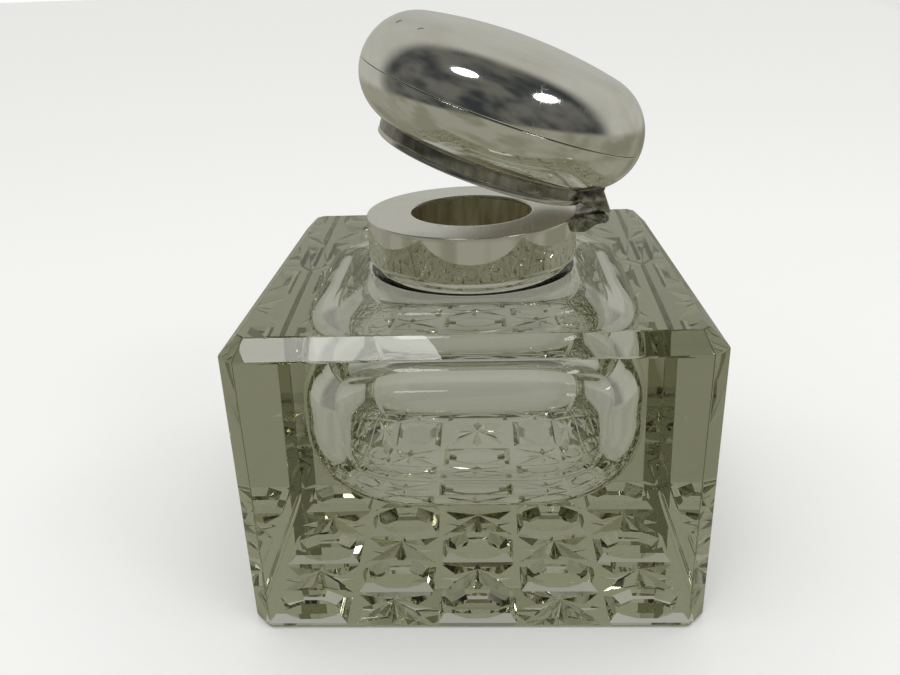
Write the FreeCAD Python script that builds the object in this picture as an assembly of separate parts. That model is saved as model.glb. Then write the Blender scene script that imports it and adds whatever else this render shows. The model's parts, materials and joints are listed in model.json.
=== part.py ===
import FreeCAD, Part
import math
import os

from FreeCAD import Vector

# Square cut-glass inkwell with a silver collar and a hinged, hollow silver lid.
# Millimetres, +Z up. The origin is the centre of the underside, the front faces -Y and the
# hinge is at +X. The lid is drawn closed and then turned open to its rest pose.

# Glass block
glass_width = 90.0
glass_height = 62.0
edge_chamfer = 3.5
base_chamfer = 0.6
shoulder_flare = 2.0
neck_radius = 20.6
neck_top = 72.2
neck_bore_radius = 13.9

# Reservoir inside the block
reservoir_width = 68.0
reservoir_floor = 18.6
reservoir_roof = 56.6
reservoir_corner_radius = 20.0
reservoir_floor_radius = 17.0
reservoir_roof_radius = 13.0
reservoir_neck_radius = 3.0

# Cut pattern on the underside: five by five cells between flat strips
cells_per_side = 5
cell_pitch = 17.1
strip_width = 1.2
button_width = 9.8
moat_depth = 1.8
moat_wall_slope = 1.3
diagonal_cut_width = 7.0
straight_cut_width = 5.2
star_cut_depth = 2.2

# Silver collar
collar_radius = 22.3
collar_wall = 0.8
collar_bottom = 64.1
collar_top = 73.4
plate_thickness = 0.8
bedding_bottom = 64.4
mouth_radius = 12.87
sleeve_wall = 0.45
sleeve_bottom = 62.0

# Hinge
hinge_x = 27.35
hinge_z = 72.45
hinge_length = 13.0
knuckle_radius = 1.0
moving_knuckle_length = 4.2
knuckle_gap = 0.2
pin_radius = 0.5
pin_clearance = 0.04
moving_clearance = 0.35
bracket_depth = 3.7
bracket_tip_depth = 2.1

# Lid, measured closed
lid_gap = 0.35
lid_open_angle = 20.5
rim_radius = 22.4
rim_wall = 0.8
base_plate_height = 1.8
base_plate_thickness = 0.6
seam_radius = 29.8
seam_height = 86.8
bowl_arc_radius = 10.2
dome_height = 13.45
dome_shoulder_radius = 11.7
lid_sheet = 0.6
lug_tip_reach = 0.7
lug_slope_reach = -2.2
lug_slope_height = 5.3

os.makedirs("parts", exist_ok=True)
ORIGIN = Vector(0, 0, 0)
UP = Vector(0, 0, 1)
ALONG_HINGE = Vector(0, 1, 0)


def save(name, shape):
    """Write one piece as its own STEP file, and say how large it is."""
    solid = shape.Solids[0] if len(shape.Solids) == 1 else shape
    if not solid.isValid() or len(shape.Solids) != 1:
        raise RuntimeError(name + " is not one valid solid")
    solid.exportStep("parts/" + name + ".step")
    print(name, "volume", round(solid.Volume, 1), "mm3")


def disc(radius, bottom, top):
    """An upright cylinder on the main axis."""
    return Part.makeCylinder(radius, top - bottom, Vector(0, 0, bottom))


def ring(outer, inner, bottom, top):
    """An upright tube on the main axis."""
    return disc(outer, bottom, top).cut(disc(inner, bottom - 1, top + 1))


def rod(radius, start_y, end_y):
    """A cylinder along the hinge axis."""
    start = Vector(hinge_x, start_y, hinge_z)
    return Part.makeCylinder(radius, end_y - start_y, start, ALONG_HINGE)


def strap(points, width):
    """A profile of (x, z) points, carried the given width along the hinge, centred on y = 0."""
    corners = [Vector(x, -width / 2, z) for x, z in points]
    face = Part.Face(Part.makePolygon(corners + corners[:1]))
    return face.extrude(Vector(0, width, 0))


def turned(edges):
    """A closed outline of edges in the XZ plane, turned about the main axis."""
    face = Part.Face(Part.Wire(edges))
    return face.revolve(ORIGIN, UP, 360)


def line(start, end):
    """A straight edge between two (radius, height) points."""
    return Part.LineSegment(Vector(start[0], 0, start[1]), Vector(end[0], 0, end[1])).toShape()


def arc(centre, radius, start_deg, end_deg):
    """A circular edge in the XZ plane through three points at the given angles."""
    angles = [math.radians(a) for a in (start_deg, (start_deg + end_deg) / 2, end_deg)]
    points = [
        Vector(centre[0] + radius * math.cos(a), 0, centre[1] + radius * math.sin(a))
        for a in angles
    ]
    return Part.Arc(*points).toShape()


def opened(shape):
    """Turn a lid piece from closed to the rest pose."""
    shape = shape.copy()
    shape.rotate(Vector(hinge_x, 0, hinge_z), ALONG_HINGE, lid_open_angle)
    return shape


# ---------------------------------------------------------------- glass


def faceted(points, faces):
    """A solid with flat faces, from its corner points and lists of corner numbers."""
    sides = []
    for corner_numbers in faces:
        loop = [points[n] for n in corner_numbers]
        sides.append(Part.Face(Part.makePolygon(loop + loop[:1])))
    return Part.makeSolid(Part.makeShell(sides))


def mitre_cutter(length, width, depth):
    """The shape of one wheel cut along X: deepest in the middle, with pointed ends."""
    half, side = length / 2, width / 2
    points = [
        Vector(-half, 0, 0),
        Vector(half, 0, 0),
        Vector(0, -side, 0),
        Vector(0, side, 0),
        Vector(0, 0, depth),
        Vector(0, 0, -depth),
    ]
    upper = [(0, 2, 4), (2, 1, 4), (1, 3, 4), (3, 0, 4)]
    lower = [(2, 0, 5), (1, 2, 5), (3, 1, 5), (0, 3, 5)]
    return faceted(points, upper + lower)


def polygon_wire(sides, width, height):
    """A level, regular outline with the given number of sides and width across its flats."""
    reach = width / 2 / math.cos(math.pi / sides)
    corners = []
    for n in range(sides):
        angle = (2 * n + 1) * math.pi / sides
        corners.append(Vector(reach * math.cos(angle), reach * math.sin(angle), height))
    return Part.makePolygon(corners + corners[:1])


def frustum(sides, width, growth):
    """A solid as deep as the moat that has the given width at the surface.

    growth is how much wider each side gets, per millimetre of depth."""
    below = -0.5
    wires = [
        polygon_wire(sides, width + 2 * growth * height, height)
        for height in (below, moat_depth)
    ]
    return Part.makeLoft(wires, True, True)


def placed(cutter, x, y, turn):
    """A copy of a cutter, turned about Z and moved over the underside."""
    copy = cutter.copy()
    copy.rotate(ORIGIN, UP, turn)
    copy.translate(Vector(x, y, 0))
    return copy


def button_cell():
    """The moat that leaves an octagonal button in the middle of a square cell."""
    cell = cell_pitch - strip_width
    side_gap = (cell - button_width) / 2
    wall_run = moat_depth / moat_wall_slope
    pocket = frustum(4, cell, -wall_run / moat_depth)
    button = frustum(8, button_width, (side_gap - wall_run) / moat_depth)
    return pocket.cut(button)


def star_cell():
    """Cuts that leave an eight-pointed star: two from corner to corner, two from side to side."""
    cell = cell_pitch - strip_width
    diagonal = mitre_cutter(cell * math.sqrt(2), diagonal_cut_width, star_cut_depth)
    straight = mitre_cutter(cell, straight_cut_width, star_cut_depth)
    cuts = [placed(diagonal, 0, 0, 45), placed(diagonal, 0, 0, 135)]
    cuts += [placed(straight, 0, 0, 0), placed(straight, 0, 0, 90)]
    return cuts[0].fuse(cuts[1:])


def chamfered_block():
    """The square block: wide chamfers on the sides and top, a narrow one underneath."""
    half = glass_width / 2
    block = Part.makeBox(glass_width, glass_width, glass_height, Vector(-half, -half, 0))
    upright = [e for e in block.Edges if abs(e.tangentAt(e.FirstParameter).z) > 0.9]
    block = block.makeChamfer(edge_chamfer, upright)
    top = [e for e in block.Edges if e.BoundBox.ZMin > glass_height - 0.1]
    block = block.makeChamfer(edge_chamfer, top)
    bottom = [e for e in block.Edges if e.BoundBox.ZMax < 0.1]
    return block.makeChamfer(base_chamfer, bottom)


def reservoir():
    """The hollow: a soft-cornered square bottle with a round neck."""
    half = reservoir_width / 2
    height = reservoir_roof - reservoir_floor
    hollow = Part.makeBox(
        reservoir_width, reservoir_width, height, Vector(-half, -half, reservoir_floor)
    )
    upright = [e for e in hollow.Edges if abs(e.tangentAt(e.FirstParameter).z) > 0.9]
    hollow = hollow.makeFillet(reservoir_corner_radius, upright)
    floor_edges = [e for e in hollow.Edges if e.BoundBox.ZMax < reservoir_floor + 0.1]
    hollow = hollow.makeFillet(reservoir_floor_radius, floor_edges)
    roof_edges = [e for e in hollow.Edges if e.BoundBox.ZMin > reservoir_roof - 0.1]
    hollow = hollow.makeFillet(reservoir_roof_radius, roof_edges)
    neck = disc(neck_bore_radius, reservoir_roof - 1, neck_top + 1)
    hollow = hollow.fuse(neck).removeSplitter()
    joint = [
        e
        for e in hollow.Edges
        if abs(e.BoundBox.ZMin - reservoir_roof) < 0.01
        and abs(e.BoundBox.XLength - 2 * neck_bore_radius) < 0.1
    ]
    return hollow.makeFillet(reservoir_neck_radius, joint)


def glass_body():
    outer = chamfered_block()
    neck = disc(neck_radius, glass_height - 1, neck_top)
    flare_radius = neck_radius + shoulder_flare
    flare_top = glass_height + shoulder_flare
    flare = turned(
        [
            line((neck_radius - 1, glass_height - 0.5), (flare_radius, glass_height - 0.5)),
            line((flare_radius, glass_height - 0.5), (flare_radius, glass_height)),
            arc((flare_radius, flare_top), shoulder_flare, 270, 180),
            line((neck_radius, flare_top), (neck_radius - 1, flare_top)),
            line((neck_radius - 1, flare_top), (neck_radius - 1, glass_height - 0.5)),
        ]
    )
    body = outer.fuse([neck, flare]).removeSplitter()
    body = body.cut(reservoir())
    button, star = button_cell(), star_cell()
    cutters = []
    reach = cells_per_side // 2
    for column in range(-reach, reach + 1):
        for row in range(-reach, reach + 1):
            tool = button if (column + row) % 2 == 0 else star
            cutters.append(placed(tool, column * cell_pitch, row * cell_pitch, 0))
    return body.cut(cutters)


# ---------------------------------------------------------------- collar


def neck_bedding():
    """Plaster between the glass neck and the silver: a sleeve with a thin flat top."""
    inside_band = collar_radius - collar_wall
    under_plate = collar_top - plate_thickness
    sleeve = ring(inside_band, neck_radius, bedding_bottom, neck_top)
    cap = ring(inside_band, neck_bore_radius, neck_top, under_plate)
    return sleeve.fuse(cap).removeSplitter()


def collar_band():
    return ring(collar_radius, collar_radius - collar_wall, collar_bottom, collar_top - plate_thickness)


def collar_top_plate():
    return ring(collar_radius, mouth_radius, collar_top - plate_thickness, collar_top)


def throat_sleeve():
    return ring(mouth_radius + sleeve_wall, mouth_radius, sleeve_bottom, collar_top - plate_thickness)


# ---------------------------------------------------------------- hinge


def collar_hinge_bracket():
    """The tongue soldered to the collar, hollowed at its end for the barrel."""
    tongue = strap(
        [
            (collar_radius - 1.5, collar_top),
            (hinge_x - 0.4, collar_top),
            (hinge_x - 0.4, hinge_z - knuckle_radius),
            (hinge_x - 1.4, collar_top - bracket_tip_depth),
            (collar_radius + 1.2, collar_top - bracket_depth),
            (collar_radius - 1.5, collar_top - bracket_depth),
        ],
        hinge_length,
    )
    tongue = tongue.cut(disc(collar_radius, collar_bottom - 1, collar_top + 1))
    tongue = tongue.cut(rod(knuckle_radius, -hinge_length, hinge_length))
    room = moving_knuckle_length / 2 + knuckle_gap
    return tongue.cut(rod(knuckle_radius + moving_clearance, -room, room))


def fixed_knuckle(side):
    """A tube of the hinge that stays on the collar; side is -1 in front and 1 behind."""
    inner = moving_knuckle_length / 2 + knuckle_gap
    outer = hinge_length / 2
    start, end = (inner, outer) if side > 0 else (-outer, -inner)
    return rod(knuckle_radius, start, end).cut(rod(pin_radius + pin_clearance / 2, start - 1, end + 1))


def lid_knuckle():
    """The moving tube, with the web that joins it to the lug above."""
    half = moving_knuckle_length / 2
    tube = rod(knuckle_radius, -half, half)
    web = strap(
        [
            (hinge_x - 0.6, hinge_z),
            (hinge_x + 0.6, hinge_z),
            (hinge_x + 0.6, hinge_z + knuckle_radius + moving_clearance),
            (hinge_x - 0.6, hinge_z + knuckle_radius + moving_clearance),
        ],
        moving_knuckle_length,
    )
    knuckle = tube.fuse(web).removeSplitter()
    return knuckle.cut(rod(pin_radius + pin_clearance, -half - 1, half + 1))


def hinge_pin():
    return rod(pin_radius, -hinge_length / 2 - 0.15, hinge_length / 2 + 0.15)


# ---------------------------------------------------------------- lid, drawn closed

lid_bottom = collar_top + lid_gap
bowl_centre = (seam_radius - bowl_arc_radius, seam_height)


def bowl_height_at(radius):
    """Height of the underside of the bowl at a radius."""
    reach = radius - bowl_centre[0]
    return seam_height - math.sqrt(bowl_arc_radius**2 - reach**2)


def bowl_solid(inset):
    """The bowl's outer form, or the form of its inside at the given wall thickness."""
    radius = bowl_arc_radius - inset
    start = rim_radius - rim_wall
    start_deg = math.degrees(math.acos((start - bowl_centre[0]) / radius))
    foot = seam_height - math.sqrt(radius**2 - (start - bowl_centre[0]) ** 2)
    return turned(
        [
            line((0, foot), (start, foot)),
            arc(bowl_centre, radius, 360 - start_deg, 360),
            line((bowl_centre[0] + radius, seam_height), (0, seam_height)),
            line((0, seam_height), (0, foot)),
        ]
    )


def dome_solid(inset):
    """The dome's outer form or inside: a round shoulder that runs into a nearly flat crown."""
    shoulder = dome_shoulder_radius - inset
    reach = seam_radius - dome_shoulder_radius
    height = dome_height - inset
    crown = (reach**2 + height**2 - shoulder**2) / (2 * (height - shoulder))
    crown_centre = seam_height + height - crown
    meet_deg = math.degrees(math.atan2(seam_height - crown_centre, reach))
    return turned(
        [
            line((0, seam_height), (seam_radius - inset, seam_height)),
            arc((reach, seam_height), shoulder, 0, meet_deg),
            arc((0, crown_centre), crown, meet_deg, 90),
            line((0, seam_height + height), (0, seam_height)),
        ]
    )


def lid_bowl():
    shell = bowl_solid(0).cut(bowl_solid(lid_sheet))
    throat = disc(rim_radius - rim_wall, lid_bottom, seam_height)
    return shell.cut(throat)


def lid_dome():
    return dome_solid(0).cut(dome_solid(lid_sheet))


def lid_rim():
    """The seat ring, cut off where it meets the bowl."""
    tube = ring(rim_radius, rim_radius - rim_wall, lid_bottom, bowl_height_at(rim_radius) + 1)
    return tube.cut(bowl_solid(0))


def lid_base_plate():
    bottom = lid_bottom + base_plate_height
    return disc(rim_radius - rim_wall, bottom, bottom + base_plate_thickness)


def lid_hinge_lug():
    """The wedge soldered to the rim and bowl, which carries the moving knuckle."""
    bottom = hinge_z + knuckle_radius + moving_clearance
    lug = strap(
        [
            (rim_radius - 2, bottom),
            (hinge_x + lug_tip_reach - 0.4, bottom),
            (hinge_x + lug_tip_reach, bottom + 0.5),
            (hinge_x + lug_slope_reach, hinge_z + lug_slope_height),
            (hinge_x + lug_slope_reach, seam_height - 5),
            (rim_radius - 2, seam_height - 5),
        ],
        hinge_length,
    )
    return lug.cut(disc(rim_radius, lid_bottom - 1, seam_height)).cut(bowl_solid(0))


fixed_pieces = {
    "glass_body": glass_body(),
    "neck_bedding": neck_bedding(),
    "collar_band": collar_band(),
    "collar_top_plate": collar_top_plate(),
    "throat_sleeve": throat_sleeve(),
    "collar_hinge_bracket": collar_hinge_bracket(),
    "collar_knuckle_front": fixed_knuckle(-1),
    "collar_knuckle_rear": fixed_knuckle(1),
    "hinge_pin": hinge_pin(),
}
lid_pieces = {
    "lid_knuckle": lid_knuckle(),
    "lid_hinge_lug": lid_hinge_lug(),
    "lid_rim": lid_rim(),
    "lid_base_plate": lid_base_plate(),
    "lid_bowl": lid_bowl(),
    "lid_dome": lid_dome(),
}
for name, shape in fixed_pieces.items():
    save(name, shape)
for name, shape in lid_pieces.items():
    save(name, opened(shape))
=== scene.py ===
import json
import math

import bmesh
import bpy
from mathutils import Matrix, Vector


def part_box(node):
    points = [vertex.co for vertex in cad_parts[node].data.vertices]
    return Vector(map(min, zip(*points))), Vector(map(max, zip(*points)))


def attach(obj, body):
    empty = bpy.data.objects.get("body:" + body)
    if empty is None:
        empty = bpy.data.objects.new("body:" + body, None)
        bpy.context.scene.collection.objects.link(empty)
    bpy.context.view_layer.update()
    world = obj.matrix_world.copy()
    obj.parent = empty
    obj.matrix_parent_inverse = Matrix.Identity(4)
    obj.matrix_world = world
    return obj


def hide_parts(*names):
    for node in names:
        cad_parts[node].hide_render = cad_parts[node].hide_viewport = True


# A square cut-glass inkwell with a silver collar and a hollow, hinged silver lid. Everything is
# in metres, the front faces -Y, and the hinge is at +X.
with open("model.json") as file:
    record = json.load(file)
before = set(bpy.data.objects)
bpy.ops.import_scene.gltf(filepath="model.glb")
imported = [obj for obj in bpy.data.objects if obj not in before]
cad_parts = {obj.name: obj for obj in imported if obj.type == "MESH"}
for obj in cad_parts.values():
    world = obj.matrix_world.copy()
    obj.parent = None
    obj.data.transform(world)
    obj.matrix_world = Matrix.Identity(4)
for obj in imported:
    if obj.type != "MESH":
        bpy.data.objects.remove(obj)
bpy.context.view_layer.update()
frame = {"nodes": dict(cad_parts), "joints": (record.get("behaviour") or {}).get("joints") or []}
mm = 0.001


# ------------------------------------------------------------------ glass_body
# One block of clear lead crystal with a soft-cornered reservoir blown inside it. The outside is
# ground flat and chamfered, a round neck stands up for the collar, and the underside is cut on
# the wheel with octagonal buttons and eight-pointed stars, divided by narrow flat strips.


def alone(piece):
    """Make one piece the only selected and active one."""
    bpy.ops.object.select_all(action="DESELECT")
    piece.select_set(True)
    bpy.context.view_layer.objects.active = piece


def settle(name):
    """Name the piece just added, and put its place and size into its mesh."""
    piece = bpy.context.object
    piece.name = piece.data.name = name
    alone(piece)
    bpy.ops.object.transform_apply(location=True, rotation=True, scale=True)
    return piece


def pick(piece, kind, test):
    """In edit mode, select the vertices, edges or faces that pass the test."""
    bpy.ops.mesh.select_all(action="DESELECT")
    bpy.ops.mesh.select_mode(type=kind)
    mesh = bmesh.from_edit_mesh(piece.data)
    everything = {"VERT": mesh.verts, "EDGE": mesh.edges, "FACE": mesh.faces}[kind]
    for part in everything:
        if test(part):
            part.select_set(True)
    bmesh.update_edit_mesh(piece.data)


def worked(piece, kind, **settings):
    """Finish a piece with one modifier, and apply it."""
    alone(piece)
    step = piece.modifiers.new("step", kind)
    for setting, value in settings.items():
        setattr(step, setting, value)
    bpy.ops.object.modifier_apply(modifier=step.name)
    return piece


def carve(piece, tool, operation="DIFFERENCE"):
    """Cut one solid with another, or join them, and throw the tool away."""
    worked(piece, "BOOLEAN", object=tool, operation=operation, solver="EXACT")
    bpy.data.objects.remove(tool)
    return piece


def copies(tool, places):
    """Set copies of a tool at each place and join them with it. Each copy has its own mesh."""
    alone(tool)
    for place in places[1:]:
        other = tool.copy()
        other.data = tool.data.copy()
        other.location = place
        bpy.context.collection.objects.link(other)
        other.select_set(True)
    tool.location = places[0]
    bpy.ops.object.join()
    return settle(tool.name)


def smooth(piece, degrees):
    """Shade smoothly over every edge blunter than the angle, and keep the others crisp."""
    alone(piece)
    bpy.ops.object.shade_smooth_by_angle(angle=math.radians(degrees))
    return piece


def curve(centre, radius, start_deg, end_deg, steps):
    """Rings (radius, height) along a circular arc of a turned profile."""
    rings = []
    for step in range(steps + 1):
        angle = math.radians(start_deg + (end_deg - start_deg) * step / steps)
        rings.append((centre[0] + radius * math.cos(angle), centre[1] + radius * math.sin(angle)))
    return rings


def turned(name, rings, ends="join", around=160):
    """Raise a turned form ring by ring from a circle. ends: join the last ring to the first,
    fill both, or draw the last one together on the axis."""
    radius, height = rings[0]
    bpy.ops.mesh.primitive_circle_add(vertices=around, radius=radius, location=(0, 0, height))
    piece = settle(name)
    bpy.ops.object.mode_set(mode="EDIT")
    bpy.ops.mesh.select_all(action="SELECT")
    if ends == "fill":
        bpy.ops.mesh.edge_face_add()
    for (old_radius, old_height), (radius, height) in zip(rings, rings[1:]):
        rise = (0, 0, height - old_height)
        bpy.ops.mesh.extrude_edges_move(TRANSFORM_OT_translate={"value": rise})
        scale = radius / old_radius
        bpy.ops.transform.resize(value=(scale, scale, 1), center_override=(0, 0, height))
    if ends == "fill":
        bpy.ops.mesh.edge_face_add()
    if ends == "pole":
        bpy.ops.mesh.merge(type="CENTER")
    if ends == "join":
        first = rings[0]
        last = rings[-1]

        def at_either_end(edge):
            spot = edge.verts[0].co
            level = abs(edge.verts[0].co.z - edge.verts[1].co.z) < 1e-7
            reach = math.hypot(spot.x, spot.y)
            return edge.is_boundary and level and any(
                abs(reach - r) < 1e-6 and abs(spot.z - z) < 1e-6 for r, z in (first, last)
            )

        pick(piece, "EDGE", at_either_end)
        bpy.ops.mesh.bridge_edge_loops()
    bpy.ops.mesh.select_all(action="SELECT")
    bpy.ops.mesh.remove_doubles(threshold=1e-7)
    bpy.ops.mesh.normals_make_consistent(inside=False)
    bpy.ops.object.mode_set(mode="OBJECT")
    return piece


class Mark:
    """A value that changes over a surface. Sums and products of marks add their own nodes."""

    def __init__(self, finish, socket):
        self.finish = finish
        self.socket = socket

    def by(self, operation, first, second=None):
        return self.finish.add("ShaderNodeMath", {"operation": operation}, {0: first, 1: second})

    def __add__(self, other):
        return self.by("ADD", self, other)

    def __sub__(self, other):
        return self.by("SUBTRACT", self, other)

    def __rsub__(self, other):
        return self.by("SUBTRACT", other, self)

    def __mul__(self, other):
        return self.by("MULTIPLY", self, other)

    __radd__ = __add__
    __rmul__ = __mul__

    def size(self):
        return self.by("ABSOLUTE", self)

    def least(self, other):
        return self.by("MINIMUM", self, other)

    def most(self, other):
        return self.by("MAXIMUM", self, other)

    def stretch(self, low, high, new_low=0.0, new_high=1.0):
        """Soft step: low becomes new_low and high becomes new_high, and nothing passes either."""
        values = {"Value": self, "From Min": low, "From Max": high}
        values.update({"To Min": new_low, "To Max": new_high})
        return self.finish.add("ShaderNodeMapRange", {"interpolation_type": "SMOOTHSTEP"}, values)


class Finish:
    """One procedural material on the shader it ends in."""

    def __init__(self, name, **constants):
        self.material = bpy.data.materials.new(name)
        self.material.use_nodes = True
        self.nodes = self.material.node_tree.nodes
        self.links = self.material.node_tree.links
        self.shader = self.nodes["Principled BSDF"]
        self.output = self.nodes["Material Output"]
        for socket, value in constants.items():
            self.shader.inputs[socket.replace("_", " ")].default_value = value
        self.place = self.add("ShaderNodeTexCoord", {}, {}, "Object")

    def add(self, kind, settings, inputs, output=0):
        """Add one node: its type, its settings, the values or links of its sockets."""
        node = self.nodes.new(kind)
        for setting, value in settings.items():
            if setting == "stops":
                self.set_stops(node.color_ramp, value)
            else:
                setattr(node, setting, value)
        for socket, value in inputs.items():
            if isinstance(value, Mark):
                self.links.new(value.socket, node.inputs[socket])
            elif value is not None:
                node.inputs[socket].default_value = value
        return Mark(self, node.outputs[output]) if node.outputs else node

    def set_stops(self, ramp, stops):
        while len(ramp.elements) < len(stops):
            ramp.elements.new(0.5)
        for element, (position, colour) in zip(ramp.elements, stops):
            element.position = position
            element.color = (*colour, 1)

    def feed(self, **marks):
        for socket, mark in marks.items():
            self.links.new(mark.socket, self.shader.inputs[socket.replace("_", " ")])

    def cloud(self, size, detail=4.0, roughness=0.5, stretch=(1, 1, 1), turn=(0, 0, 0), seed=0.0):
        """Cloudy noise whose spots are about the given size, in metres."""
        mapped = self.add(
            "ShaderNodeMapping", {}, {"Vector": self.place, "Rotation": turn, "Scale": stretch}
        )
        settings = {"noise_dimensions": "4D"}
        values = {"Vector": mapped, "W": seed, "Scale": 1 / size}
        values.update({"Detail": detail, "Roughness": roughness})
        return self.add("ShaderNodeTexNoise", settings, values)

    def hairlines(self, size, width, turn, seed):
        """Fine scratches: thin lines where a stretched cloud crosses its own middle."""
        long_cloud = self.cloud(size, 2.0, 0.5, (1, 0.06, 0.4), turn, seed)
        return (long_cloud - 0.5).size().stretch(0.0, width, 1.0, 0.0)

    def blend(self, factor, first, second):
        """Mix two colours."""
        return self.add(
            "ShaderNodeMix",
            {"data_type": "RGBA"},
            {0: factor, 6: self.colour(first), 7: self.colour(second)},
            2,
        )

    def colour(self, value):
        return value if isinstance(value, Mark) else (*value, 1)

    def ramp(self, factor, stops):
        return self.add("ShaderNodeValToRGB", {"stops": stops}, {"Fac": factor})

    def axis(self, letter):
        """Distance along X, Y or Z, in metres."""
        return self.add("ShaderNodeSeparateXYZ", {}, {0: self.place}, letter)

    def relief(self, height, depth):
        """Bump in metres of depth, on the shader's normal."""
        values = {"Height": height, "Strength": 1.0, "Distance": depth}
        bump = self.add("ShaderNodeBump", {}, values)
        self.feed(Normal=bump)

    def wear(self, piece):
        piece.data.materials.clear()
        piece.data.materials.append(self.material)


def kept(node, finish):
    """Give a CAD piece that keeps its shape a finish in place of its plain one."""
    for slot in frame["nodes"][node].material_slots:
        slot.material = finish.material


glass_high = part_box("glass_body")[1]
block_half = glass_high.x
block_top = 62.0 * mm
edge_chamfer = 3.5 * mm
foot_chamfer = 0.6 * mm
polish_round = 0.22 * mm

bpy.ops.object.select_all(action="DESELECT")
bpy.ops.mesh.primitive_cube_add(
    size=1,
    location=(0, 0, block_top / 2),
    scale=(2 * block_half, 2 * block_half, block_top),
)
crystal = settle("crystal_block")
bpy.ops.object.mode_set(mode="EDIT")
pick(crystal, "EDGE", lambda e: abs(e.verts[0].co.z - e.verts[1].co.z) > edge_chamfer)
bpy.ops.mesh.bevel(offset=edge_chamfer, segments=1)
pick(crystal, "EDGE", lambda e: min(v.co.z for v in e.verts) > block_top - 1e-6)
bpy.ops.mesh.bevel(offset=edge_chamfer, segments=1)
pick(crystal, "EDGE", lambda e: max(v.co.z for v in e.verts) < 1e-6)
bpy.ops.mesh.bevel(offset=foot_chamfer, segments=1)
bpy.ops.mesh.select_all(action="SELECT")
bpy.ops.mesh.bevel(offset=polish_round, segments=2)
bpy.ops.object.mode_set(mode="OBJECT")

cell_pitch = 17.1 * mm
strip_width = 1.2 * mm
cell = cell_pitch - strip_width
button_width = 9.8 * mm
moat_depth = 1.8 * mm
moat_slope = 1.3
star_depth = 2.2 * mm
star_long_width = 7.0 * mm
star_short_width = 5.2 * mm
below = 0.5 * mm


def pyramid_frustum(name, sides, width, growth, top):
    """A flat-sided solid up to a height, with the given width at the glass's surface."""
    flat_to_corner = 1 / (2 * math.cos(math.pi / sides))
    wide = [(width + 2 * growth * z) * flat_to_corner for z in (-below, top)]
    bpy.ops.mesh.primitive_cone_add(
        vertices=sides,
        radius1=wide[0],
        radius2=wide[1],
        depth=top + below,
        location=(0, 0, (top - below) / 2),
        rotation=(0, 0, math.pi / sides),
    )
    return settle(name)


def wheel_cut(name, length, width, turn):
    """A mitre cut: deepest in the middle, with pointed ends."""
    grow = (star_depth + below) / star_depth
    bpy.ops.mesh.primitive_cone_add(
        vertices=4,
        radius1=1,
        depth=star_depth + below,
        location=(0, 0, (star_depth - below) / 2),
        rotation=(0, 0, turn),
        scale=(length / 2 * grow, width / 2 * grow, 1),
    )
    return settle(name)


reach = range(-2, 3)
grid = [(x, y) for x in reach for y in reach]
button_places = [(x * cell_pitch, y * cell_pitch, 0) for x, y in grid if (x + y) % 2 == 0]
star_places = [(x * cell_pitch, y * cell_pitch, 0) for x, y in grid if (x + y) % 2 == 1]
wall_run = moat_depth / moat_slope
moat = pyramid_frustum("moat", 4, cell, -wall_run / moat_depth, moat_depth)
button_overrun = 1.04  # the cutter crosses the moat's walls, and so leaves no open edge
button_growth = ((cell - button_width) / 2 - wall_run) / moat_depth * button_overrun
carve(moat, pyramid_frustum("button", 8, button_width, button_growth, moat_depth + below))
star = wheel_cut("star", cell * math.sqrt(2), star_long_width, math.pi / 4)
carve(star, wheel_cut("cut", cell * math.sqrt(2), star_long_width, -math.pi / 4), "UNION")
for turn in (0, math.pi / 2):
    carve(star, wheel_cut("cut", cell, star_short_width, turn), "UNION")
carve(crystal, copies(moat, button_places))
carve(crystal, copies(star, star_places))

neck_radius = 20.6 * mm
neck_top = glass_high.z
neck_flare = 2.0 * mm
neck_lip = 0.4 * mm
neck_rings = [(neck_radius + neck_flare, block_top - 1 * mm)]
neck_rings += curve((neck_radius + neck_flare, block_top + neck_flare), neck_flare, 270, 180, 10)
neck_rings += curve((neck_radius - neck_lip, neck_top - neck_lip), neck_lip, 0, 90, 4)
carve(crystal, turned("neck", neck_rings, "fill"), "UNION")

hollow_half = 34.0 * mm
hollow_floor = 18.6 * mm
hollow_roof = 56.6 * mm
hollow_corner = 24.0 * mm
hollow_heel = 19.5 * mm
hollow_shoulder = 14.0 * mm
bore_radius = 13.9 * mm
bore_flare = 3.0 * mm
bore_sink = 0.5 * mm
hollow_steps = 26
corner_steps = 36
heel_power = 2.15
shoulder_power = 2.05


def round_off(radius, steps, power):
    """Steps of (inset, rise) round a corner, from a flat end face out to a straight wall."""
    walk = []
    for step in range(steps + 1):
        angle = math.pi / 2 * step / steps
        across = math.sin(angle) ** (2 / power)
        up_wall = max(math.cos(angle), 0.0) ** (2 / power)
        walk.append((radius * (1 - across), radius * (1 - up_wall)))
    return walk


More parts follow.
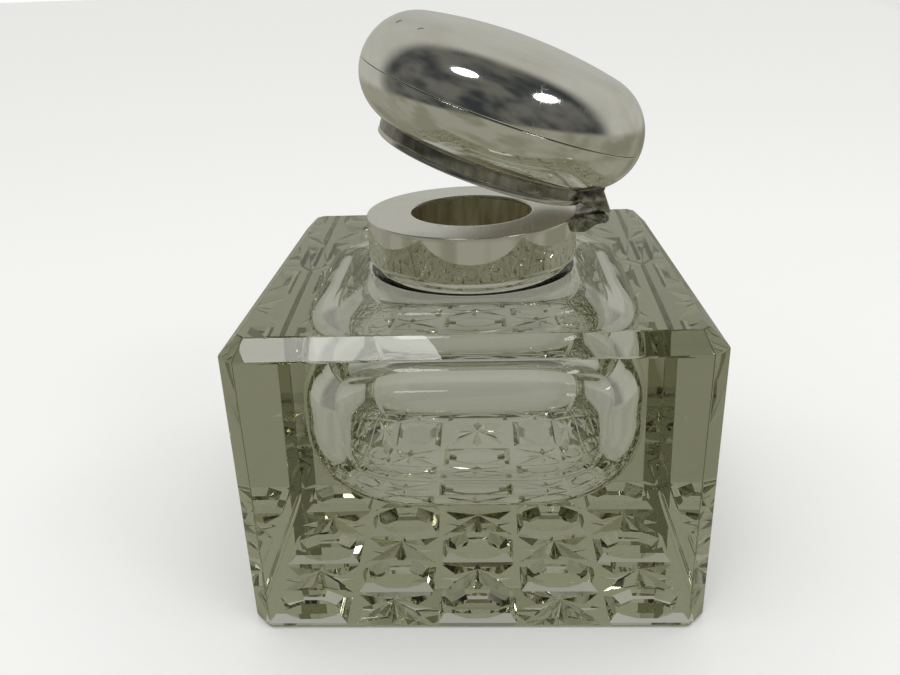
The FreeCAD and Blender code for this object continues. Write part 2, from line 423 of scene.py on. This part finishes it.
heel_rings = round_off(hollow_heel, hollow_steps, heel_power)
shoulder_rings = round_off(hollow_shoulder, hollow_steps, shoulder_power)
levels = [(inset, hollow_floor + rise) for inset, rise in heel_rings]
levels += [(inset, hollow_roof - rise) for inset, rise in reversed(shoulder_rings)]
bpy.ops.object.select_all(action="DESELECT")
bpy.ops.mesh.primitive_plane_add(size=2 * hollow_half, location=(0, 0, hollow_floor))
hollow = settle("hollow")
bpy.ops.object.mode_set(mode="EDIT")
bpy.ops.mesh.select_all(action="SELECT")
bpy.ops.mesh.bevel(offset=hollow_corner, segments=corner_steps, profile=0.6, affect="VERTICES")
bpy.ops.mesh.select_all(action="SELECT")
share = 1 - levels[0][0] / hollow_half
bpy.ops.transform.resize(value=(share, share, 1), center_override=(0, 0, hollow_floor))
for (old_inset, old_level), (inset, level) in zip(levels, levels[1:]):
    bpy.ops.mesh.extrude_region_move(TRANSFORM_OT_translate={"value": (0, 0, level - old_level)})
    share = (hollow_half - inset) / (hollow_half - old_inset)
    bpy.ops.transform.resize(value=(share, share, 1), center_override=(0, 0, level))
bpy.ops.mesh.select_all(action="SELECT")
bpy.ops.mesh.normals_make_consistent(inside=False)
bpy.ops.object.mode_set(mode="OBJECT")
bore_rings = [(bore_radius + bore_flare, hollow_roof - 3 * mm)]
bore_bend = (bore_radius + bore_flare, hollow_roof + bore_flare - bore_sink)
bore_rings += curve(bore_bend, bore_flare, 270, 180, 12)
bore_rings += [(bore_radius, neck_top + 1 * mm)]
carve(hollow, turned("bore", bore_rings, "fill"), "UNION")
carve(crystal, hollow)
smooth(crystal, 24)
large_flat = 50 * mm * mm
bpy.ops.object.mode_set(mode="EDIT")
pick(crystal, "FACE", lambda f: f.calc_area() > large_flat)
bpy.ops.mesh.region_to_loop()
bpy.ops.mesh.mark_sharp()
bpy.ops.object.mode_set(mode="OBJECT")

glass = Finish("lead_crystal", IOR=1.55, Transmission_Weight=1.0)
wave = glass.cloud(26 * mm, 2.0)
smears = glass.cloud(14 * mm, 5.0, 0.6, seed=4.0).stretch(0.52, 0.75)
scratches = glass.hairlines(9 * mm, 0.006, (0.3, 0.2, 0.7), 2.0).most(
    glass.hairlines(7 * mm, 0.005, (1.1, 0.4, 2.1), 7.0)
)
scratches = scratches * glass.cloud(8 * mm, 2.0, seed=9.0).stretch(0.5, 0.7)
glass.feed(
    Base_Color=glass.blend(smears * 0.5, (0.985, 0.99, 0.975), (0.95, 0.95, 0.92)),
    Roughness=smears * 0.012 + scratches * 0.06,
)
glass.relief(wave + scratches * 0.02, 0.03 * mm)
absorbed = {"Color": (0.925, 0.926, 0.89, 1), "Density": 100.0}
tint = glass.add("ShaderNodeVolumeAbsorption", {}, absorbed)
glass.links.new(tint.socket, glass.output.inputs["Volume"])
glass.wear(crystal)
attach(crystal, "base")
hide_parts("glass_body")


# ---------------------------------------------------------------- neck_bedding
# Plaster of Paris that was poured between the neck and the silver. Only its lower edge shows,
# through the glass and under the band. It has gone slightly yellow and is full of tiny pits.

plaster = Finish("old_plaster", Roughness=0.9)
pits = plaster.cloud(0.5 * mm, 5.0, 0.7)
age = plaster.cloud(7 * mm, 3.0, seed=3.0).stretch(0.4, 0.7)
plaster.feed(Base_Color=plaster.blend(age, (0.76, 0.73, 0.64), (0.56, 0.5, 0.37)))
plaster.relief(pits, 0.12 * mm)
kept("neck_bedding", plaster)


# ----------------------------------------------------------------- collar_band
# A strip of sheet silver bent round and soldered, then polished. Age and use have left it
# slightly uneven, and four small plain punches are struck in a row near the hinge side.

band_low, band_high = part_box("collar_band")
band_radius = band_high.x
band_wall = 0.8 * mm
band_edge = 0.15 * mm
inside = band_radius - band_wall
rings = [(inside, band_high.z), (inside, band_low.z + 0.1 * mm)]
rings += curve((band_radius - band_edge, band_low.z + band_edge), band_edge, 270, 360, 4)
rings += [(band_radius, z) for z in (band_low.z + 1 * mm, band_high.z - 1 * mm)]
rings += [(band_radius, band_high.z - 0.01 * mm)]
band = turned("silver_band", rings, "join")


def punched(piece, azimuth, height, width, tall, sides, face_radius):
    """Strike one shallow plain punch in the band."""
    around = math.radians(azimuth)
    bpy.ops.mesh.primitive_cone_add(
        vertices=sides,
        radius1=0.5,
        radius2=0.42,
        depth=0.5 * mm,
        location=(face_radius * math.cos(around), face_radius * math.sin(around), height),
        rotation=(0, -math.pi / 2, around),
        scale=(tall, width, 1),
    )
    tool = settle("punch")
    return carve(piece, tool)


punch_depth = 0.12 * mm
punch_face = band_radius + 0.25 * mm - punch_depth
punch_height = 67.7 * mm
band_punches = (  # azimuth, width and height in mm, number of sides
    (-63.6, 1.5, 1.3, 6),
    (-53.3, 1.9, 1.7, 24),
    (-44.7, 1.7, 1.3, 4),
    (-33.9, 1.3, 1.8, 8),
)
for azimuth, width, tall, sides in band_punches:
    punched(band, azimuth, punch_height, width * mm, tall * mm, sides, punch_face)
smooth(band, 30)


light_stain = ((0.56, 0.46, 0.3), (0.34, 0.27, 0.17))
dark_stain = ((0.16, 0.145, 0.11), (0.07, 0.062, 0.048))


def silver(name, tarnish, shine, scratch, dent, warm=0.0, brown=None, stain=light_stain):
    """Polished silver: brown tarnish in clouds, hairline scratches, and a slightly uneven face.

    tarnish, shine (roughness), scratch and dent say how much of each; brown is an extra mark
    where handling or dirt has left more of it, and stain is the tarnish's two colours."""
    finish = Finish(name, Metallic=1.0)
    haze = finish.cloud(11 * mm, 5.0, 0.62, seed=1.0 + warm).stretch(0.46, 0.78)
    specks = finish.cloud(1.1 * mm, 3.0, 0.6, seed=5.0).stretch(0.66, 0.8)
    lines = finish.hairlines(6 * mm, 0.007, (0.4, 0.1, 0.5), 3.0)
    for turn, seed in (((1.2, 0.3, 1.9), 8.0), ((0.2, 1.0, 2.8), 13.0)):
        lines = lines.most(finish.hairlines(5 * mm, 0.006, turn, seed))
    lines = lines * finish.cloud(5 * mm, 2.0, seed=11.0).stretch(0.42, 0.62)
    dark = haze * tarnish + specks * (0.35 * tarnish)
    if brown is not None:
        dark = dark + brown(finish)
    clean = finish.blend(haze, (0.93, 0.915, 0.885), (0.9, 0.88, 0.83))
    stained = finish.blend(specks, *stain)
    finish.feed(
        Base_Color=finish.blend(dark.least(0.92), clean, stained),
        Roughness=(haze * 0.05 + lines * 0.12 + dark * 0.12 + shine).least(0.6),
    )
    uneven = finish.cloud(13 * mm, 2.0, 0.4, seed=6.0)
    finish.relief(uneven * dent - lines * scratch, 0.1 * mm)
    return finish


def collar_grime(finish):
    """Dark edge where the band meets the glass and round the foot of the hinge."""
    height = finish.axis("Z")
    foot = height.stretch(band_low.z, band_low.z + 0.7 * mm, 0.5, 0.0)
    side = finish.axis("X").stretch(17 * mm, 23 * mm, 0.0, 0.35)
    return foot + side * finish.cloud(3 * mm, 4.0, seed=2.0)


band_silver = silver("band_silver", 0.1, 0.035, 0.02, 0.5, 0.3, collar_grime)
band_silver.wear(band)
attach(band, "base")
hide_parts("collar_band")


# ------------------------------------------------------------ collar_top_plate
# The flat silver ring soldered on the band, with the mouth in it. It is worn to a pale satin by
# the lid and by wiping, and keeps faint rings from the lathe.

plate_low, plate_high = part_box("collar_top_plate")
mouth_radius = 12.87 * mm
plate_edge = 0.18 * mm
mouth_edge = 0.3 * mm
rings = [(mouth_radius, plate_low.z), (mouth_radius, plate_high.z - mouth_edge)]
rings += curve((mouth_radius + mouth_edge, plate_high.z - mouth_edge), mouth_edge, 180, 90, 6)
rings += [(r * mm, plate_high.z) for r in (13.6, 17.0, 21.0, 21.8)]
rings += curve((band_radius - plate_edge, plate_high.z - plate_edge), plate_edge, 90, 0, 5)
rings += [(band_radius, plate_low.z)]
plate = smooth(turned("silver_top_plate", rings, "join"), 30)

satin = silver("plate_silver", 0.12, 0.2, 0.03, 0.06, 0.9)
flattened = {0: satin.place, 1: (1, 1, 0)}
flat_place = satin.add("ShaderNodeVectorMath", {"operation": "MULTIPLY"}, flattened)
reach_out = satin.add("ShaderNodeVectorMath", {"operation": "LENGTH"}, {0: flat_place}, "Value")
turning = {"W": reach_out, "Scale": 9000.0, "Detail": 3.0}
lathe = satin.add("ShaderNodeTexNoise", {"noise_dimensions": "1D"}, turning)
satin.relief(lathe * 0.25 + satin.cloud(15 * mm, 2.0), 0.02 * mm)
satin.wear(plate)
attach(plate, "base")
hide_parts("collar_top_plate")


# --------------------------------------------------------------- throat_sleeve
# A thin silver tube under the plate that keeps ink off the plaster. A century of ink and damp
# has stained it olive brown, in runs that end in a paler lower edge.

sleeve = Finish("stained_sleeve", Metallic=0.55)
runs = sleeve.cloud(2.2 * mm, 5.0, 0.6, (1, 1, 0.22))
blots = sleeve.cloud(5 * mm, 4.0, 0.6, seed=5.0)
sleeve_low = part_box("throat_sleeve")[0]
low_edge = sleeve.axis("Z").stretch(sleeve_low.z + 0.5 * mm, sleeve_low.z + 3 * mm)
ink_stops = [(0.3, (0.2, 0.18, 0.09)), (0.5, (0.42, 0.38, 0.22)), (0.72, (0.6, 0.55, 0.38))]
ink = sleeve.ramp(runs, ink_stops)
pale = sleeve.ramp(blots, [(0.35, (0.3, 0.28, 0.2)), (0.65, (0.62, 0.59, 0.48))])
sleeve.feed(Base_Color=sleeve.blend(low_edge, pale, ink), Roughness=0.28 + blots * 0.3)
sleeve.relief(runs + blots * 0.5, 0.08 * mm)
kept("throat_sleeve", sleeve)


# -------------------------------------------------------- collar_hinge_bracket
# The tongue of thick silver soldered to the collar. Its end is hollowed for the barrel of the
# hinge. Polish and dirt have dried in its corners.


def hinge_grime(finish):
    """Brown that fills the hollows of the hinge."""
    return finish.cloud(1.6 * mm, 4.0, 0.6, seed=7.0).stretch(0.36, 0.68, 0.85, 0.35)


def rounded_copy(node, name, radius):
    """A copy of a CAD piece with its sharp edges rubbed down."""
    piece = frame["nodes"][node].copy()
    piece.data = frame["nodes"][node].data.copy()
    piece.parent = None
    piece.name = piece.data.name = name
    bpy.context.collection.objects.link(piece)
    alone(piece)
    bpy.ops.object.mode_set(mode="EDIT")
    bpy.ops.mesh.select_all(action="SELECT")
    bpy.ops.mesh.remove_doubles(threshold=1e-6)
    bpy.ops.mesh.dissolve_limited(angle_limit=math.radians(1))
    bpy.ops.object.mode_set(mode="OBJECT")
    sharp = math.radians(30)
    worked(piece, "BEVEL", width=radius, segments=2, limit_method="ANGLE", angle_limit=sharp)
    return smooth(piece, 40)


hinge_silver = silver("hinge_silver", 0.35, 0.12, 0.03, 0.2, 1.7, hinge_grime, dark_stain)
bracket = rounded_copy("collar_hinge_bracket", "hinge_bracket", 0.12 * mm)
hinge_silver.wear(bracket)
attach(bracket, "base")
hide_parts("collar_hinge_bracket")


# -------------------------------- collar_knuckle_front, collar_knuckle_rear
# The fixed part of the hinge: two short lengths of drawn silver tube, soldered side by side in
# the bracket's hollow with a gap between them for the lid's tube.

fixed_knuckles = (("collar_knuckle_front", "knuckle_front"), ("collar_knuckle_rear", "knuckle_rear"))
for node, name in fixed_knuckles:
    knuckle = rounded_copy(node, name, 0.08 * mm)
    hinge_silver.wear(knuckle)
    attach(knuckle, "base")
    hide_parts(node)


# ------------------------------------------------------------------- hinge_pin
# A silver wire driven through the three knuckles, with its ends slightly domed by the hammer.
# It is held in the collar's two knuckles, and the lid's turns on it.

pin = rounded_copy("hinge_pin", "hinge_wire", 0.16 * mm)
hinge_silver.wear(pin)
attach(pin, "base")
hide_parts("hinge_pin")


# ------------------------------------------------- lid_knuckle, lid_hinge_lug
# The moving part of the hinge: a short tube that turns between the collar's two, and the wedge
# of silver above it, both soldered to the lid.

lid_hinge_parts = (
    ("lid_knuckle", "knuckle_lid", 0.07 * mm),
    ("lid_hinge_lug", "hinge_lug", 0.25 * mm),
)
for node, name, radius in lid_hinge_parts:
    piece = rounded_copy(node, name, radius)
    hinge_silver.wear(piece)
    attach(piece, "lid")
    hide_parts(node)


# --------------------------------------------------------------------- lid_rim
# The seat ring of the lid, turned from thicker silver and soldered under the bowl. Its outer
# face is dull and dark, because polish never reaches the angle under the bowl.

joint = frame["joints"][0]
hinge_at = Vector(joint["pos_m"])
open_angle = -math.radians(joint["range_deg"][0])
turn_up = Matrix.Rotation(open_angle, 4, "Y")
swing = Matrix.Translation(hinge_at) @ turn_up @ Matrix.Translation(-hinge_at)


def lifted(piece):
    """Turn a piece that was made on a closed lid to where the lid rests, part open."""
    piece.matrix_world = swing
    alone(piece)
    bpy.ops.object.transform_apply(location=True, rotation=True, scale=True)
    return piece


lid_foot = plate_high.z + 0.35 * mm
rim_radius = 22.4 * mm
rim_wall = 0.8 * mm
seam_radius = 29.8 * mm
seam_height = 86.8 * mm
bowl_round = 10.2 * mm
bowl_centre = (seam_radius - bowl_round, seam_height)
rim_in_bowl = seam_height - math.sqrt(bowl_round**2 - (rim_radius - bowl_centre[0]) ** 2)
rim_edge = 0.2 * mm
rim_inside = rim_radius - rim_wall
rings = [(rim_inside, rim_in_bowl - 0.35 * mm), (rim_inside, lid_foot + rim_edge)]
rings += curve((rim_inside + rim_edge, lid_foot + rim_edge), rim_edge, 180, 270, 4)
rings += curve((rim_radius - rim_edge, lid_foot + rim_edge), rim_edge, 270, 360, 4)
rings += curve((rim_radius, lid_foot + 1.05 * mm), 0.12 * mm, 260, 100, 6)[1:-1]
rings += [(rim_radius, lid_foot + 1.4 * mm), (rim_radius, rim_in_bowl - 0.02 * mm)]
rim = lifted(smooth(turned("lid_seat_ring", rings, "join"), 35))


def rim_grime(finish):
    """Dark tarnish over the ring, except on the bead at its foot, which the collar rubs bright."""
    lid_up = swing.to_3x3() @ Vector((0, 0, 1))
    along = {0: finish.place, 1: lid_up}
    height = finish.add("ShaderNodeVectorMath", {"operation": "DOT_PRODUCT"}, along, "Value")
    closed_height = height - (lid_up.dot(hinge_at) - hinge_at.z)
    above_bead = closed_height.stretch(lid_foot + 0.8 * mm, lid_foot + 1.3 * mm, 0.35, 1.0)
    patches = finish.cloud(2.5 * mm, 4.0, 0.6, (1, 1, 0.5), seed=3.0)
    return above_bead * patches.stretch(0.3, 0.72, 0.92, 0.6)


rim_silver = silver("rim_silver", 0.2, 0.1, 0.05, 0.15, 2.3, rim_grime, dark_stain)
rim_silver.wear(rim)
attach(rim, "lid")
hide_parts("lid_rim")


# -------------------------------------------------------------- lid_base_plate
# The disc that closes the lid from below, inside the seat ring. Ink and damp have marked it
# with spots and a ring where it stands over the mouth.

under = Finish("stained_base_plate", Metallic=0.85)
spots_mark = under.cloud(1.4 * mm, 5.0, 0.65, seed=6.0).stretch(0.56, 0.68)
fog = under.cloud(8 * mm, 4.0, seed=2.0)
fog_colour = under.ramp(fog, [(0.35, (0.68, 0.64, 0.5)), (0.6, (0.5, 0.45, 0.31))])
under.feed(
    Base_Color=under.blend(spots_mark, fog_colour, (0.16, 0.13, 0.09)),
    Roughness=0.2 + fog * 0.3,
)
under.relief(fog + spots_mark * 0.4, 0.08 * mm)
kept("lid_base_plate", under)


# -------------------------------------------------------------------- lid_bowl
# The lower half of the hollow lid, spun from sheet silver. Its edge meets the dome's at a fine
# seam, which has never been quite closed by polishing.

sheet = 0.6 * mm
seam_gap = 0.05 * mm
seam_round = 0.12 * mm
start_deg = math.degrees(math.acos((rim_radius - rim_wall - bowl_centre[0]) / bowl_round))
inner = bowl_round - sheet
inner_start = math.degrees(math.acos((rim_radius - rim_wall - bowl_centre[0]) / inner))
lip = seam_height - seam_gap
rings = curve(bowl_centre, bowl_round, 360 - start_deg, 358.6, 30)
rings += curve((seam_radius - seam_round, lip - seam_round), seam_round, 0, 90, 4)
rings += [(bowl_centre[0] + inner, lip)]
rings += curve(bowl_centre, inner, 358.6, 360 - inner_start, 20)
bowl = lifted(smooth(turned("silver_lid_bowl", rings, "join"), 30))


def lid_stains(finish):
    """Warm tarnish low on the hinge side and at the front edge, away from the hand."""
    hinge_side = finish.axis("X").stretch(20 * mm, 36 * mm, 0.0, 1.0)
    far_side = finish.axis("X").stretch(-14 * mm, -27 * mm, 0.0, 0.8)
    cloud = finish.cloud(6 * mm, 5.0, 0.65, seed=8.0).stretch(0.38, 0.66)
    return (hinge_side + far_side) * cloud * 0.4


lid_silver = silver("lid_silver", 0.1, 0.06, 0.025, 0.25, 3.1, lid_stains)
lid_silver.wear(bowl)
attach(bowl, "lid")
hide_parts("lid_bowl")


# -------------------------------------------------------------------- lid_dome
# The upper half of the lid: a round shoulder that runs into a nearly flat crown. Two small
# plain punches are struck near its edge.

dome_height = 13.45 * mm
shoulder = 11.7 * mm
shoulder_at = seam_radius - shoulder
crown = (shoulder_at**2 + dome_height**2 - shoulder**2) / (2 * (dome_height - shoulder))
crown_centre = seam_height + dome_height - crown
meet = math.degrees(math.atan2(seam_height - crown_centre, shoulder_at))
foot = seam_height + seam_gap
rings = curve((seam_radius - seam_round, foot + seam_round), seam_round, 270, 360, 4)
rings += curve((shoulder_at, seam_height), shoulder, 1.4, meet, 30)
rings += curve((0, crown_centre), crown, meet, 89.9, 18)[1:]
dome = turned("silver_lid_dome", rings, "pole")
worked(dome, "SOLIDIFY", thickness=sheet, offset=-1)
dome_punches = ((-155.4, 26.0), (-138.4, 25.5))  # azimuth, and distance from the axis in mm
for azimuth, radius in dome_punches:
    around = math.radians(azimuth)
    lean = math.acos((radius * mm - shoulder_at) / shoulder)
    level = math.cos(lean)
    out = Vector((math.cos(around) * level, math.sin(around) * level, math.sin(lean)))
    at = Vector((shoulder_at * math.cos(around), shoulder_at * math.sin(around), seam_height))
    bpy.ops.mesh.primitive_cone_add(
        vertices=8,
        radius1=0.42,
        radius2=0.5,
        depth=0.5 * mm,
        location=at + out * (shoulder + 0.25 * mm - punch_depth),
        rotation=out.to_track_quat("Z", "Y").to_euler(),
        scale=(1.9 * mm, 1.4 * mm, 1),
    )
    carve(dome, settle("punch"))
lifted(smooth(dome, 30))
lid_silver.wear(dome)
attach(dome, "lid")
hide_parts("lid_dome")


# ----------------------------------------------------------------------- stage
# A plain pale floor, a pale room that is dimmer in front, two soft lamps and the camera. The
# floor lies a hair below the glass, and only the glass and silver themselves are reflected.

floor_drop = 0.1 * mm
bpy.ops.mesh.primitive_plane_add(size=60, location=(0, 0, -floor_drop))
floor = settle("floor")
paper = Finish("floor_paper", Roughness=0.85)
grain = paper.cloud(2 * mm, 3.0)
paper.feed(Base_Color=paper.blend(grain, (0.9, 0.9, 0.89), (0.92, 0.92, 0.91)))
paper.relief(grain, 0.02 * mm)
paper.wear(floor)
floor.visible_glossy = False
floor.visible_transmission = False

scene = bpy.context.scene
scene.view_settings.view_transform = "Standard"
scene.cycles.max_bounces = 32
scene.cycles.transmission_bounces = 32
scene.cycles.glossy_bounces = 16

# The room: a pale ceiling and back wall, a dim front half where one stands to look at the
# piece, and a dull floor. Silver shows it as it is, glass in softer steps, and the paper on
# the table is lit evenly from all round.
world = bpy.data.worlds.new("studio")
scene.world = world
world.use_nodes = True
world.node_tree.nodes.clear()


class Room(Finish):
    """The same way of adding nodes, for the light of the room."""

    def __init__(self):
        self.nodes = world.node_tree.nodes
        self.links = world.node_tree.links
        self.place = self.add("ShaderNodeTexCoord", {}, {}, "Generated")


room = Room()
right, back, up = room.axis("X"), room.axis("Y"), room.axis("Z")
near_half = (back + right * 0.15).stretch(0.32, -0.02, 0.0, 1.0)
above = up.stretch(-0.16, -0.04)
drift = room.add("ShaderNodeTexNoise", {}, {"Vector": room.place, "Scale": 2.2, "Detail": 2.0})
ceiling = room.blend(drift, (0.5, 0.5, 0.45), (0.38, 0.38, 0.34))
shade = room.blend(drift.stretch(0.35, 0.65), (0.035, 0.04, 0.042), (0.13, 0.13, 0.115))
ground = room.blend(drift.stretch(0.4, 0.6), (0.3, 0.3, 0.24), (0.22, 0.22, 0.165))
over = room.blend(near_half, ceiling, shade)
view = room.blend(above, ground, over)
softer = room.blend(0.42, view, (0.56, 0.56, 0.55))


def glow(colour, strength=1.0):
    return room.add("ShaderNodeBackground", {}, {"Color": colour, "Strength": strength}, 0)


def whichever(factor, first, second):
    return room.add("ShaderNodeMixShader", {}, {0: factor, 1: first, 2: second})


ray = room.add("ShaderNodeLightPath", {}, {}, "Is Camera Ray")
through = room.add("ShaderNodeLightPath", {}, {}, "Is Transmission Ray")
lighting = room.add("ShaderNodeLightPath", {}, {}, "Is Diffuse Ray")
seen = whichever(through, glow(view), glow(softer))
seen = whichever(lighting, seen, glow((1, 1, 0.99, 1)))
seen = whichever(ray, seen, glow((0.98, 0.98, 0.98, 1)))
room.add("ShaderNodeOutputWorld", {}, {"Surface": seen})


def lamp(name, aim, azimuth, height_deg, distance, size, tall, watts):
    """A soft lamp at a direction from what it lights: azimuth from the front towards the hinge."""
    light = bpy.data.lights.new(name, "AREA")
    light.shape = "ELLIPSE"
    light.size = size
    light.size_y = tall
    light.energy = watts
    holder = bpy.data.objects.new(name, light)
    turn, rise = math.radians(azimuth), math.radians(height_deg)
    level = math.cos(rise)
    toward = Vector((level * math.sin(turn), -level * math.cos(turn), math.sin(rise)))
    holder.location = Vector(aim) + toward * distance
    holder.rotation_euler = toward.to_track_quat("Z", "Y").to_euler()
    bpy.context.collection.objects.link(holder)


lid_centre = (0, 0, 90 * mm)
lamp_away, lamp_wide, lamp_tall, lamp_watts = 0.7, 0.22, 0.13, 0.4
for name, azimuth, height_deg in (("lamp_left", -23, 59), ("lamp_right", 53, 38)):
    lamp(name, lid_centre, azimuth, height_deg, lamp_away, lamp_wide, lamp_tall, lamp_watts)

eye = bpy.data.cameras.new("eye")
eye.sensor_width = 36
eye.lens = 33.45
viewer = bpy.data.objects.new("eye", eye)
bpy.context.collection.objects.link(viewer)
viewer.matrix_world = (
    Matrix.Translation((0.00295, -0.17536, 0.11804))
    @ Matrix.Rotation(math.radians(2.776), 4, "Z")
    @ Matrix.Rotation(math.radians(90 - 22.944), 4, "X")
    @ Matrix.Rotation(math.radians(-2.048), 4, "Z")
)
scene.camera = viewer
